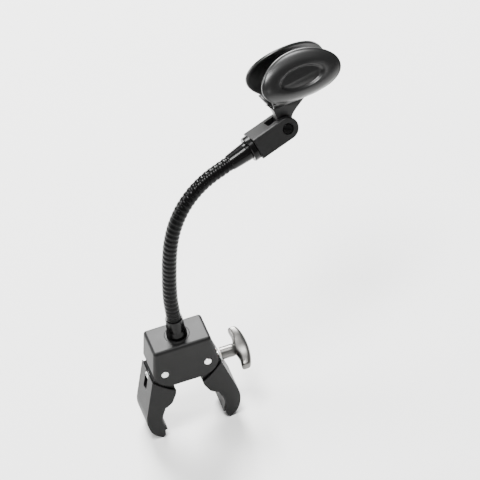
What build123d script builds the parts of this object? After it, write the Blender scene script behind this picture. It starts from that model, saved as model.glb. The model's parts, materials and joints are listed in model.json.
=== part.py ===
from build123d import *
import os
from math import cos, radians, sin

os.makedirs("parts", exist_ok=True)

# All sizes in millimetres and degrees. +X points to the knob, +Y to the back, +Z up.
# The origin is on the mid-plane, at the centre of the bar that the jaws grip.

# ---- clamp housing ----
pin_height = 45.0            # jaw pins above the origin
pin_spacing = 37.7
housing_rise = 25.6          # top face above the pins
housing_drop = 14.8          # lower edge of the plates below the pins
housing_top_width = 50.3
housing_flare = 8.5          # how far each side leans out on the way down, degrees
housing_depth = 32.2
housing_corner = 3.0
housing_edge = 2.8
plate_thickness = 2.6
roof_thickness = 6.0
side_thickness = 2.4
side_drop = 3.0              # lower edge of the sides below the pins
plate_corner = 16.8          # round lower corners of the plates

# ---- jaws ----
pin_radius = 2.5
rivet_head_radius = 3.1
rivet_head_height = 0.7
hub_radius = 6.4             # jaw's eye round its pin
jaw_depth = 30.4
jaw_side_gap = 0.35          # between the jaw's eye and the plates
jaw_closing = 20.0           # swing of each jaw from open to closed, degrees
jaw_edge = 0.7
pad_arc_radius = 18.25       # hollow grip face
pad_arc_inset = 9.2          # centre of that face inboard of the pin
pad_arc_drop = 53.0          # and below it
pad_height = 17.0
pad_thickness = 2.2
pad_end_margin = 1.2

# ---- clamp screw ----
screw_drop = 12.0            # screw axis below the pins
screw_radius = 3.0
swivel_outboard = 8.0        # swivel centres outboard of the pins
barrel_radius = 5.0
barrel_length = 12.2
nut_length = 2 * screw_radius + 1.0
left_slot_height = 17.0      # upright slot that shows the nut in the left jaw
washer_radius = 5.7
washer_thickness = 1.2
ring_radius = 4.9
ring_thickness = 1.0
seat_wall = 3.0              # jaw wall between the barrel and the ring
knob_hub_radius = 5.5
knob_hub_length = 10.4
knob_length = 24.5
knob_span = 40.0
knob_tip_thickness = 9.6
knob_width = 11.0
knob_turned = 76.0           # wings turned back from upright, degrees

# ---- neck ----
bush_radius = 10.85
ferrule_foot_radius = 8.75
ferrule_foot_height = 3.0
ferrule_top_radius = 7.3
ferrule_height = 19.5
ferrule_floor = 5.5
neck_radius = 6.35
neck_bore_radius = 3.5
link_length = 14.3
link_gap = 1.1
link_relief = 0.45           # chamfer on each link's ends
neck_side = 14.6             # direction that the neck leans in, from +X towards +Y, degrees
link_bends = (5.8, 2.2, 1.4, 3.2, 6.3, 9.4, 11.9, 13.3, 13.5, 13.2)   # links between the two ends
stud_radius = 4.0
stud_nut_flats = 13.0
stud_nut_height = 6.5
stud_washer_radius = 7.5
stud_washer_thickness = 1.2
top_ferrule_length = 19.0
top_ferrule_neck_radius = 6.9
top_ferrule_end_radius = 8.0
top_ferrule_socket = 13.5
lock_ring_radius = 11.2
lock_ring_thickness = 5.6
head_stud_radius = 4.76
head_stud_length = 12.0

# ---- fork and clip ----
head_roll = 23.4             # the fork leans back about the neck's end, degrees
yoke_width = 22.0
yoke_height = 19.6
yoke_solid = 18.0            # length of the fork's solid root
yoke_pivot = 30.3            # pivot from the fork's root face
yoke_edge = 2.6
insert_radius = 7.6
insert_length = 14.0
slot_width = 10.4
pivot_radius = 2.5
pivot_head_radius = 4.2
pivot_head_height = 2.6
pivot_nut_flats = 8.0
recess_depth = 3.0
recess_radius = 5.0
tilt_washer_radius = 7.0
tilt_washer_thickness = 0.6
clip_nod = 13.3              # clip's channel points down from the fork's axis, degrees
channel_radius = 16.4
channel_height = 37.3        # channel axis above the pivot
channel_wall = 3.4
lip_radius = 34.0            # the wings lean in on this arc above the channel's axis
wing_length = 72.0
wing_height = 41.6
wing_forward = 20.8          # wing centre ahead of the pivot
wing_rise = 3.4              # and above the channel's axis
recess_length = 41.0
recess_height = 18.0
recess_floor = 1.4           # how deep the oval is sunk into each wing
tongue_width = 14.2
tongue_rise = 20.4           # top of the tongue, inside the channel's floor
saddle_rise = 27.5           # the channel's floor is longer than the wings up to here
saddle_back = -9.6           # back and front ends of that floor
saddle_front = 42.0

# ---- clearances ----
running_gap = 0.05
face_gap = 0.05
free_gap = 0.35


def place(base, origin, x_dir, z_dir):
    """A plane given in the coordinates of another plane."""
    start = base.from_local_coords(Vector(0, 0, 0))
    across = base.from_local_coords(Vector(*x_dir)) - start
    normal = base.from_local_coords(Vector(*z_dir)) - start
    return Plane(origin=base.from_local_coords(Vector(*origin)), x_dir=across, z_dir=normal)


def save(piece, name):
    piece.part.label = name
    export_step(piece.part, f"parts/{name}.step")
    print(f"{name:20s} solids {len(piece.part.solids())}  volume {piece.part.volume:9.1f}")


# =====================================================================
# Clamp
# =====================================================================
pin_x = pin_spacing / 2
housing_top = pin_height + housing_rise
roof_under = housing_top - roof_thickness
flare_slope = sin(radians(housing_flare)) / cos(radians(housing_flare))
plates_bottom = pin_height - housing_drop
slot_depth = housing_depth - 2 * plate_thickness
eye_depth = slot_depth - 2 * jaw_side_gap
screw_z = pin_height - screw_drop


def housing_half_width(z):
    return housing_top_width / 2 + (housing_top - z) * flare_slope


# A cap that is a trapezium from the front, with round upright edges and large round lower
# corners. The cavity is open at the bottom, and below the sides it runs right through
# between the two plates.
with BuildPart() as clamp_housing:
    for height in (plates_bottom, housing_top):
        with BuildSketch(Plane.XY.offset(height)):
            RectangleRounded(2 * housing_half_width(height), housing_depth, housing_corner)
    loft(ruled=True)
    fillet(faces().sort_by(Axis.Z)[-1].edges(), radius=housing_edge)
    with BuildSketch(Plane.XZ):
        with BuildLine():
            Polyline(
                (-housing_half_width(housing_top + 1), housing_top + 1),
                (housing_half_width(housing_top + 1), housing_top + 1),
                (housing_half_width(plates_bottom), plates_bottom),
                (-housing_half_width(plates_bottom), plates_bottom),
                close=True,
            )
        make_face()
        fillet(vertices().group_by(Axis.Y)[0], radius=plate_corner)
    extrude(amount=housing_depth, both=True, mode=Mode.INTERSECT)
    with BuildSketch(Plane.XZ):
        with BuildLine():
            roof_half = housing_half_width(roof_under) - side_thickness
            foot_half = housing_half_width(plates_bottom) - side_thickness
            Polyline(
                (-roof_half, roof_under),
                (roof_half, roof_under),
                (foot_half, plates_bottom - 1),
                (-foot_half, plates_bottom - 1),
                close=True,
            )
        make_face()
    extrude(amount=slot_depth / 2, both=True, mode=Mode.SUBTRACT)
    below_sides = pin_height - side_drop - plates_bottom + 1
    with Locations((0, 0, plates_bottom - 1 + below_sides / 2)):
        Box(2 * housing_half_width(0), slot_depth, below_sides, mode=Mode.SUBTRACT)
    with Locations(Plane.XZ):
        with Locations((-pin_x, pin_height), (pin_x, pin_height)):
            Cylinder(pin_radius, housing_depth + 2, mode=Mode.SUBTRACT)
    with Locations((0, 0, roof_under)):
        Cylinder(bush_radius, roof_thickness, align=(Align.CENTER, Align.CENTER, Align.MIN), mode=Mode.SUBTRACT)
save(clamp_housing, "clamp_housing")


def jaw_blank(side):
    """One jaw without its screw pockets: side is +1 for the right jaw and -1 for the left."""

    def at(outboard, rise):
        return (side * (pin_x + outboard), pin_height + rise)

    pad_centre = at(-pad_arc_inset, -pad_arc_drop)
    with BuildPart() as jaw:
        with BuildSketch(Plane.XZ):
            with BuildLine():
                shoulder = ThreePointArc(at(11.6, -6.0), at(2.9, -15.2), at(-7.2, -22.6))
                Polyline(shoulder @ 1, at(-6.4, -27.0), at(-2.4, -35.2), at(1.0, -38.2))
                Polyline(at(1.0, -38.2), at(5.0, -40.0), at(5.0, -63.0), at(8.0, -64.0))
                Polyline(at(8.0, -64.0), at(8.4, -69.4), at(10.8, -71.4))
                ThreePointArc(at(10.8, -71.4), at(17.4, -66.4), at(20.9, -59.2))
                ThreePointArc(at(20.9, -59.2), at(22.3, -50.6), at(21.2, -42.0))
                Line(at(21.2, -42.0), shoulder @ 0)
            make_face()
            with Locations(pad_centre):
                Circle(pad_arc_radius, mode=Mode.SUBTRACT)
        extrude(amount=jaw_depth / 2, both=True)
        with BuildSketch(Plane.XZ):
            with BuildLine():
                Polyline(
                    at(-hub_radius, 0),
                    at(hub_radius, 0),
                    at(hub_radius, -3.6),
                    at(10.6, -6.8),
                    at(11.6, -12.0),
                    at(-3.0, -26.0),
                    at(-6.4, -22.2),
                    close=True,
                )
            make_face()
            with Locations(at(0, 0)):
                Circle(hub_radius)
        extrude(amount=eye_depth / 2, both=True)
        outer = edges().filter_by(Plane.XZ).filter_by(lambda e: abs(abs(e.center().Y) - jaw_depth / 2) < 0.01)
        chamfer(outer, length=jaw_edge / 2)
        with Locations(Plane.XZ):
            with Locations(at(0, 0)):
                Cylinder(pin_radius + running_gap, jaw_depth, mode=Mode.SUBTRACT)
        with BuildSketch(Plane.XZ):
            pad_section(side, 0)
        extrude(amount=jaw_depth / 2 - pad_end_margin, both=True, mode=Mode.SUBTRACT)
    return jaw.part


def pad_section(side, proud):
    """Band along the hollow grip face, as thick as the rubber strip."""
    centre = (side * (pin_x - pad_arc_inset), pin_height - pad_arc_drop)
    with Locations(centre):
        Circle(pad_arc_radius + pad_thickness)
        Circle(pad_arc_radius - proud, mode=Mode.SUBTRACT)
    with Locations((centre[0] + side * pad_arc_radius, centre[1])):
        Rectangle(pad_arc_radius, pad_height, mode=Mode.INTERSECT)


def swivel_x(side):
    return side * (pin_x + swivel_outboard)


def passage(side, radius):
    """Room for the screw to swing inboard of its swivel as the jaw closes."""
    for turned in (0, jaw_closing / 2, jaw_closing):
        along = Vector(-side * cos(radians(turned)), 0, -sin(radians(turned)))
        start = Plane(origin=(swivel_x(side), 0, screw_z), x_dir=(0, 1, 0), z_dir=along)
        with Locations(start):
            Cylinder(radius, 40, align=(Align.CENTER, Align.CENTER, Align.MIN), mode=Mode.SUBTRACT)


# Right jaw: an open pocket outboard for barrel and washer, a pocket inboard for the ring,
# and a curved wall between them that both bear on while the jaw swings.
with BuildPart() as right_jaw:
    add(jaw_blank(1))
    pocket_half = washer_radius + free_gap + 0.25
    with BuildSketch(Plane.XZ):
        with Locations((swivel_x(1), screw_z)):
            Circle(barrel_radius + running_gap)
            Rectangle(30, 15.5, align=(Align.MIN, Align.CENTER))
    extrude(amount=pocket_half, both=True, mode=Mode.SUBTRACT)
    with BuildSketch(Plane.XZ):
        with BuildLine():
            Polyline(
                (swivel_x(1) - barrel_radius, screw_z + ring_radius + free_gap),
                (swivel_x(1) - 20, screw_z + ring_radius + free_gap),
                (swivel_x(1) - 20, screw_z - 16.0),
                (swivel_x(1) - barrel_radius, screw_z - 9.0),
                close=True,
            )
        make_face()
        with Locations((swivel_x(1), screw_z)):
            Circle(barrel_radius + running_gap + seat_wall, mode=Mode.SUBTRACT)
    extrude(amount=pocket_half, both=True, mode=Mode.SUBTRACT)
    passage(1, screw_radius + free_gap)
save(right_jaw, "right_jaw")

# Left jaw: an upright slot in the outer face, with a curved floor for the barrel nut.
with BuildPart() as left_jaw:
    add(jaw_blank(-1))
    with BuildSketch(Plane.XZ):
        with Locations((swivel_x(-1), screw_z)):
            Circle(barrel_radius + running_gap)
        with Locations((swivel_x(-1), screw_z + barrel_radius)):
            Rectangle(30, left_slot_height, align=(Align.MAX, Align.MAX))
    extrude(amount=nut_length / 2 + running_gap, both=True, mode=Mode.SUBTRACT)
    passage(-1, screw_radius + free_gap)
save(left_jaw, "left_jaw")

for side, name in ((1, "right_pad"), (-1, "left_pad")):
    with BuildPart() as pad:
        with BuildSketch(Plane.XZ):
            pad_section(side, 0.8)
        extrude(amount=jaw_depth / 2 - pad_end_margin, both=True)
    save(pad, name)

# Two rivets: a shank through the plates and a low round-edged head at each end.
with BuildPart() as pivot_pins:
    pin_places = ((-pin_x, pin_height), (pin_x, pin_height))
    with BuildSketch(Plane.XZ):
        with Locations(*pin_places):
            Circle(pin_radius)
    extrude(amount=housing_depth / 2, both=True)
    for start in (Plane.XZ.offset(housing_depth / 2), Plane.XZ.offset(-housing_depth / 2 - rivet_head_height)):
        with BuildSketch(start):
            with Locations(*pin_places):
                Circle(rivet_head_radius)
        extrude(amount=rivet_head_height)
    rims = edges().filter_by(GeomType.CIRCLE).group_by(Axis.Y)
    fillet(rims[0] + rims[-1], radius=rivet_head_height * 0.7)
save(pivot_pins, "pivot_pins")

# Everything that turns on the screw's axis is drawn along that axis, from the right swivel.
screw_axis = Plane(origin=(swivel_x(1), 0, screw_z), x_dir=(0, 1, 0), z_dir=(1, 0, 0))
washer_start = barrel_radius + face_gap
knob_start = washer_start + washer_thickness + face_gap
ring_start = -(barrel_radius + running_gap + seat_wall + free_gap)
screw_far_end = swivel_x(-1) - barrel_radius + 0.8 - swivel_x(1)
screw_socket = 8.0

with BuildPart() as clamp_screw:
    with BuildSketch(screw_axis.offset(screw_far_end)):
        Circle(screw_radius)
    extrude(amount=knob_start + screw_socket - screw_far_end)
    chamfer(edges().group_by(Axis.X)[0], length=0.6)
save(clamp_screw, "clamp_screw")

with BuildPart() as swivel_barrel:
    with BuildSketch(Plane.XZ):
        with Locations((swivel_x(1), screw_z)):
            Circle(barrel_radius)
    extrude(amount=barrel_length / 2, both=True)
    with Locations(screw_axis):
        Cylinder(screw_radius + running_gap, 4 * barrel_radius, mode=Mode.SUBTRACT)
save(swivel_barrel, "swivel_barrel")

with BuildPart() as barrel_nut:
    with BuildSketch(Plane.XZ):
        with Locations((swivel_x(-1), screw_z)):
            Circle(barrel_radius)
    extrude(amount=nut_length / 2, both=True)
    with Locations(Plane(origin=(swivel_x(-1), 0, screw_z), z_dir=(1, 0, 0))):
        Cylinder(screw_radius + running_gap, 4 * barrel_radius, mode=Mode.SUBTRACT)
save(barrel_nut, "barrel_nut")

with BuildPart() as thrust_washer:
    with BuildSketch(screw_axis.offset(washer_start)):
        Circle(washer_radius)
        Circle(screw_radius + running_gap, mode=Mode.SUBTRACT)
    extrude(amount=washer_thickness)
save(thrust_washer, "thrust_washer")

with BuildPart() as retaining_ring:
    with BuildSketch(screw_axis.offset(ring_start - ring_thickness)):
        Circle(ring_radius)
        Circle(screw_radius, mode=Mode.SUBTRACT)
    extrude(amount=ring_thickness)
save(retaining_ring, "retaining_ring")

# Knob: a round hub and two wings, thick in the middle and curved on the outside.
wing_plane = place(
    screw_axis,
    (0, 0, 0),
    (0, 0, 1),
    (-cos(radians(knob_turned)), sin(radians(knob_turned)), 0),
)
with BuildPart() as wing_knob:
    with BuildSketch(wing_plane):
        with BuildLine():
            hub_end = knob_start + knob_hub_length
            tip_out = knob_start + knob_length - 3.6
            tip_in = tip_out - knob_tip_thickness
            ThreePointArc(
                (tip_out, -knob_span / 2),
                (knob_start + knob_length, 0),
                (tip_out, knob_span / 2),
            )
            Polyline((tip_out, knob_span / 2), (tip_in, knob_span / 2), (hub_end, knob_hub_radius))
            Polyline((hub_end, knob_hub_radius), (hub_end, -knob_hub_radius))
            Polyline((hub_end, -knob_hub_radius), (tip_in, -knob_span / 2), (tip_out, -knob_span / 2))
        make_face()
        fillet(vertices().group_by(Axis.Y)[0] + vertices().group_by(Axis.Y)[-1], radius=3.6)
    extrude(amount=knob_width / 2, both=True)
    fillet(edges().filter_by(lambda e: abs(e.tangent_at(0.5).dot(wing_plane.z_dir)) < 0.01), radius=1.6)
    with BuildSketch(screw_axis.offset(knob_start)):
        Circle(knob_hub_radius)
    extrude(amount=knob_hub_length + 6)
    with BuildSketch(screw_axis.offset(knob_start)):
        Circle(screw_radius)
    extrude(amount=screw_socket, mode=Mode.SUBTRACT)
save(wing_knob, "wing_knob")

# =====================================================================
# Neck
# =====================================================================
with BuildPart() as neck_bush:
    with BuildSketch(Plane.XY.offset(roof_under)):
        Circle(bush_radius)
        Circle(stud_radius, mode=Mode.SUBTRACT)
    extrude(amount=roof_thickness)
save(neck_bush, "neck_bush")

ferrule_top = housing_top + ferrule_height
neck_foot = housing_top + ferrule_floor
with BuildPart() as base_ferrule:
    with BuildSketch(Plane.XZ):
        with BuildLine():
            Polyline(
                (stud_radius, housing_top),
                (ferrule_foot_radius, housing_top),
                (ferrule_foot_radius, housing_top + ferrule_foot_height),
                (ferrule_top_radius + 0.6, housing_top + ferrule_foot_height + 4),
                (ferrule_top_radius, ferrule_top - 0.6),
                (ferrule_top_radius - 0.5, ferrule_top),
                (neck_radius, ferrule_top),
                (neck_radius, neck_foot),
                (stud_radius, neck_foot),
                close=True,
            )
        make_face()
    revolve(axis=Axis.Z)
save(base_ferrule, "base_ferrule")

stud_foot = roof_under - stud_washer_thickness - stud_nut_height - 1.5
with BuildPart() as neck_stud:
    with BuildSketch(Plane.XY.offset(stud_foot)):
        Circle(stud_radius)
    extrude(amount=neck_foot - stud_foot)
    chamfer(edges().group_by(Axis.Z)[0], length=0.6)
save(neck_stud, "neck_stud")

with BuildPart() as stud_washer:
    with BuildSketch(Plane.XY.offset(roof_under - stud_washer_thickness)):
        Circle(stud_washer_radius)
        Circle(stud_radius, mode=Mode.SUBTRACT)
    extrude(amount=stud_washer_thickness)
save(stud_washer, "stud_washer")

with BuildPart() as stud_nut:
    with BuildSketch(Plane.XY.offset(roof_under - stud_washer_thickness - stud_nut_height)):
        RegularPolygon(stud_nut_flats / 2, 6, major_radius=False)
        Circle(stud_radius, mode=Mode.SUBTRACT)
    extrude(amount=stud_nut_height)
save(stud_nut, "stud_nut")

# The neck is a chain of arcs in one upright plane, each tangent to the last.
# Its plane holds the lean direction and +Z; the links' axes turn about the plane's normal.
lean = Vector(cos(radians(neck_side)), sin(radians(neck_side)), 0)
bend_axis = Vector(0, 0, 1).cross(lean)


def turned(direction, angle):
    return direction * cos(radians(angle)) + bend_axis.cross(direction) * sin(radians(angle))


def straight_link(start, heading, length, free_end):
    """A hollow straight length, with a chamfered rim at the end that is free to tilt."""
    with BuildPart() as link:
        with BuildSketch(Plane(origin=start, z_dir=heading)):
            Circle(neck_radius)
            Circle(neck_bore_radius, mode=Mode.SUBTRACT)
        extrude(amount=length)
        rims = edges().filter_by(GeomType.CIRCLE).filter_by(lambda e: abs(e.radius - neck_radius) < 0.01)
        chamfer(rims.sort_by_distance(free_end)[0], length=link_relief)
    return link


def bent_link(start, heading, bend):
    """A hollow arc, shortened by half a gap and chamfered at each end. Also its far end."""
    radius = link_length / radians(bend)
    centre = start + turned(heading, 90) * radius
    skip = bend * (link_gap / 2) / link_length
    outward = -turned(heading, 90 + skip)
    with BuildPart() as link:
        with BuildSketch(Plane(origin=centre + outward * radius, x_dir=outward, z_dir=turned(heading, skip))):
            Circle(neck_radius)
            Circle(neck_bore_radius, mode=Mode.SUBTRACT)
        revolve(axis=Axis(centre, bend_axis), revolution_arc=bend - 2 * skip)
        rims = edges().filter_by(GeomType.CIRCLE).filter_by(lambda e: abs(e.radius - neck_radius) < 0.01)
        chamfer(rims, length=link_relief)
    return link, centre - turned(heading, 90 + bend) * radius, turned(heading, bend)


heading = Vector(0, 0, 1)
point = Vector(0, 0, ferrule_top + link_length)
free_end = point - heading * (link_gap / 2)
foot = Vector(0, 0, neck_foot)
save(straight_link(foot, heading, (free_end - foot).length, free_end), "neck_link_01")
for number, bend in enumerate(link_bends, start=2):
    print("    joint at", point, "along", heading)
    link, point, heading = bent_link(point, heading, bend)
    save(link, f"neck_link_{number:02d}")
print("    joint at", point, "along", heading)
free_end = point + heading * (link_gap / 2)
last_length = link_length + top_ferrule_socket - link_gap / 2
save(straight_link(free_end, heading, last_length, free_end), f"neck_link_{len(link_bends) + 2:02d}")
ferrule_end = point + heading * (link_length + top_ferrule_length)

# =====================================================================
# Head, drawn from the root of the lock ring
# =====================================================================
# Local X runs on along the neck, local Y to the back, local Z up through the fork.
level_up = turned(heading, -90)
level_back = level_up.cross(heading)
fork_up = level_up * cos(radians(head_roll)) + level_back * sin(radians(head_roll))
head = Plane(origin=ferrule_end, x_dir=heading, z_dir=fork_up)
head_side = place(head, (0, 0, 0), (1, 0, 0), (0, -1, 0))
head_axis = Axis(head.origin, heading)
socket_floor = top_ferrule_socket - top_ferrule_length

with BuildPart() as top_ferrule:
    with BuildSketch(head_side):
        with BuildLine():
            Polyline(
                (-top_ferrule_length, neck_radius),
                (-top_ferrule_length, top_ferrule_neck_radius - 0.4),
                (-top_ferrule_length + 0.6, top_ferrule_neck_radius),
                (-3.0, top_ferrule_end_radius),
                (0, top_ferrule_end_radius),
                (0, head_stud_radius),
                (socket_floor, head_stud_radius),
                (socket_floor, neck_radius),
                close=True,
            )
        make_face()
    revolve(axis=head_axis)
save(top_ferrule, "top_ferrule")

with BuildPart() as lock_ring:
    with BuildSketch(Plane(origin=head.origin, z_dir=heading)):
        Circle(lock_ring_radius)
    extrude(amount=lock_ring_thickness)
    chamfer(edges(), length=0.7)
    with Locations(Plane(origin=head.origin, z_dir=heading)):
        Cylinder(head_stud_radius, 3 * lock_ring_thickness, mode=Mode.SUBTRACT)
save(lock_ring, "lock_ring")

stud_start = Plane(origin=head.origin + heading * socket_floor, z_dir=heading)
with BuildPart() as head_stud:
    with BuildSketch(stud_start):
        Circle(head_stud_radius)
    extrude(amount=lock_ring_thickness + head_stud_length - socket_floor)
    chamfer(edges().filter_by(GeomType.CIRCLE).sort_by_distance(stud_start.origin)[-1], length=0.6)
save(head_stud, "head_stud")

root_face = Plane(origin=head.origin + heading * lock_ring_thickness, z_dir=heading)
with BuildPart() as thread_insert:
    with BuildSketch(root_face):
        Circle(insert_radius)
        Circle(head_stud_radius, mode=Mode.SUBTRACT)
    extrude(amount=insert_length)
save(thread_insert, "thread_insert")

# Fork: a block with round ends to its two ears, a slot, and a recess at each end of the pin.
pivot_x = lock_ring_thickness + yoke_pivot
pivot_point = head.from_local_coords(Vector(pivot_x, 0, 0))
near_face = place(head, (pivot_x, -yoke_width / 2, 0), (1, 0, 0), (0, 1, 0))
far_face = place(head, (pivot_x, yoke_width / 2, 0), (1, 0, 0), (0, -1, 0))
with BuildPart() as yoke:
    with BuildSketch(head_side):
        with Locations((lock_ring_thickness, 0)):
            Rectangle(yoke_pivot, yoke_height, align=(Align.MIN, Align.CENTER))
        with Locations((pivot_x, 0)):
            Circle(yoke_height / 2)
    extrude(amount=yoke_width / 2, both=True)
    along_block = edges().filter_by(GeomType.LINE).filter_by(lambda e: abs(e.tangent_at(0.5).dot(heading)) > 0.99)
    fillet(along_block, radius=yoke_edge / 2)
    with BuildSketch(root_face):
        Circle(insert_radius)
    extrude(amount=insert_length, mode=Mode.SUBTRACT)
    slot_reach = yoke_pivot + yoke_height - yoke_solid
    with BuildSketch(head_side):
        with Locations((lock_ring_thickness + yoke_solid, 0)):
            Rectangle(slot_reach, 2 * yoke_height, align=(Align.MIN, Align.CENTER))
    extrude(amount=slot_width / 2, both=True, mode=Mode.SUBTRACT)
    with Locations(near_face):
        Cylinder(pivot_radius, 3 * yoke_width, mode=Mode.SUBTRACT)
    with BuildSketch(near_face):
        Circle(recess_radius)
    extrude(amount=recess_depth, mode=Mode.SUBTRACT)
    with BuildSketch(far_face):
        RegularPolygon(pivot_nut_flats / 2 + running_gap, 6, major_radius=False)
    extrude(amount=recess_depth, mode=Mode.SUBTRACT)
save(yoke, "yoke")

with BuildPart() as pivot_screw:
    with BuildSketch(near_face.offset(recess_depth - pivot_head_height)):
        Circle(pivot_head_radius)
    extrude(amount=pivot_head_height)
    with BuildSketch(near_face.offset(recess_depth)):
        Circle(pivot_radius)
    extrude(amount=yoke_width - recess_depth - 0.5)
    chamfer(edges().filter_by(GeomType.CIRCLE).sort_by_distance(near_face.origin)[-1], length=0.4)
    fillet(edges().filter_by(GeomType.CIRCLE).group_by(lambda e: e.radius)[-1].sort_by_distance(near_face.origin)[0], radius=0.5)
    with BuildSketch(near_face.offset(recess_depth - pivot_head_height)):
        Rectangle(2 * pivot_head_radius + 1, 1.1, rotation=40)
    extrude(amount=1.2, mode=Mode.SUBTRACT)
save(pivot_screw, "pivot_screw")

with BuildPart() as pivot_nut:
    with BuildSketch(far_face.offset(0.4)):
        RegularPolygon(pivot_nut_flats / 2, 6, major_radius=False)
        Circle(pivot_radius, mode=Mode.SUBTRACT)
    extrude(amount=recess_depth - 0.4)
save(pivot_nut, "pivot_nut")

tongue_thickness = slot_width - 2 * (tilt_washer_thickness + face_gap)
with BuildPart() as tilt_washers:
    for start in (-slot_width / 2, slot_width / 2 - tilt_washer_thickness):
        with BuildSketch(place(head, (pivot_x, start, 0), (1, 0, 0), (0, 1, 0))):
            Circle(tilt_washer_radius)
            Circle(pivot_radius, mode=Mode.SUBTRACT)
        extrude(amount=tilt_washer_thickness)
save(tilt_washers, "tilt_washers")

# Clip, drawn in a frame of its own: X forward along the channel, Y back, Z up, origin on
# the tilting pin. It is then set on the fork, nodding forward.
nod_cos = cos(radians(clip_nod))
nod_sin = sin(radians(clip_nod))
clip_base = place(head, (pivot_x, 0, 0), (nod_cos, 0, -nod_sin), (nod_sin, 0, nod_cos))
wing_centre = (wing_forward, channel_height + wing_rise)
outer_radius = channel_radius + channel_wall
wing_top = wing_rise + wing_height / 2
wing_section = Plane.YZ.offset(wing_forward)


def channel_outline(inset):
    """Round below the channel's axis; above it each side leans in on a larger arc."""
    reach = outer_radius - inset
    lean_arc = lip_radius - inset
    lean_centre = outer_radius - lip_radius
    top = lean_centre + (lean_arc**2 - wing_top**2) ** 0.5
    half_rise = wing_top / 2
    middle = lean_centre + (lean_arc**2 - half_rise**2) ** 0.5
    with BuildSketch() as outline:
        with BuildLine():
            ThreePointArc((-reach, channel_height), (0, channel_height - reach), (reach, channel_height))
            for side in (-1, 1):
                ThreePointArc(
                    (side * reach, channel_height),
                    (side * middle, channel_height + half_rise),
                    (side * top, channel_height + wing_top),
                )
            Line((-top, channel_height + wing_top), (top, channel_height + wing_top))
        make_face()
    return outline.sketch


with BuildPart() as sunk_ovals:
    with BuildSketch(wing_section):
        with Locations((0, channel_height)):
            Rectangle(4 * outer_radius, 2 * wing_height)
        add(channel_outline(recess_floor), mode=Mode.SUBTRACT)
    extrude(amount=recess_length, both=True)
    with BuildSketch(Plane.XZ):
        with Locations(wing_centre):
            Ellipse(recess_length / 2, recess_height / 2)
    extrude(amount=2 * outer_radius, both=True, mode=Mode.INTERSECT)

with BuildPart() as clip_shape:
    with BuildSketch(wing_section):
        add(channel_outline(0))
        add(channel_outline(channel_wall), mode=Mode.SUBTRACT)
    extrude(amount=wing_length, both=True)
    with BuildSketch(Plane.XZ):
        with Locations(wing_centre):
            Ellipse(wing_length / 2, wing_height / 2)
        with BuildLine():
            Polyline(
                (saddle_back, saddle_rise),
                (saddle_back + 4.4, tongue_rise - 4),
                (saddle_front - 9.0, tongue_rise - 4),
                (saddle_front, saddle_rise),
                close=True,
            )
        make_face()
    extrude(amount=2 * outer_radius, both=True, mode=Mode.INTERSECT)
    add(sunk_ovals.part, mode=Mode.SUBTRACT)
    with BuildSketch(Plane.XZ):
        half = tongue_width / 2
        Circle(half)
        with BuildLine():
            Polyline((half, 0), (-half, 0), (-half + 1.4, 9.0))
            Spline(
                (-half + 1.4, 9.0),
                (-half + 2.2, 13.6),
                (-half + 0.6, tongue_rise),
                tangents=((0.2, 1), (-0.55, 1)),
            )
            Polyline((-half + 0.6, tongue_rise), (wing_forward + 5, tongue_rise), (wing_forward - 2, 15.0))
            Polyline((wing_forward - 2, 15.0), (half + 1.6, 9.6), (half, 5.0), (half, 0))
        make_face()
    extrude(amount=tongue_thickness / 2, both=True)
    with Locations(Plane.XZ):
        Cylinder(pivot_radius + running_gap, 3 * yoke_width, mode=Mode.SUBTRACT)
with BuildPart(clip_base) as clip:
    add(clip_shape.part)
save(clip, "clip")

print("head origin", head.origin, "axis", heading, "up", fork_up, "back", head.y_dir)
print("pivot", pivot_point, "tilt axis", head.y_dir)
channel_mid = clip_base.from_local_coords(Vector(wing_forward, 0, channel_height))
print("channel centre", channel_mid, "channel axis", clip_base.x_dir, "clip up", clip_base.z_dir)
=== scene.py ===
"""Finish of a clamp-on airbrush holder: castings, gooseneck, fork and clip, on a plain floor."""

import json
from math import cos, pi, radians, sin

import bmesh
import bpy
import numpy as np
from mathutils import Matrix, Vector


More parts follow.
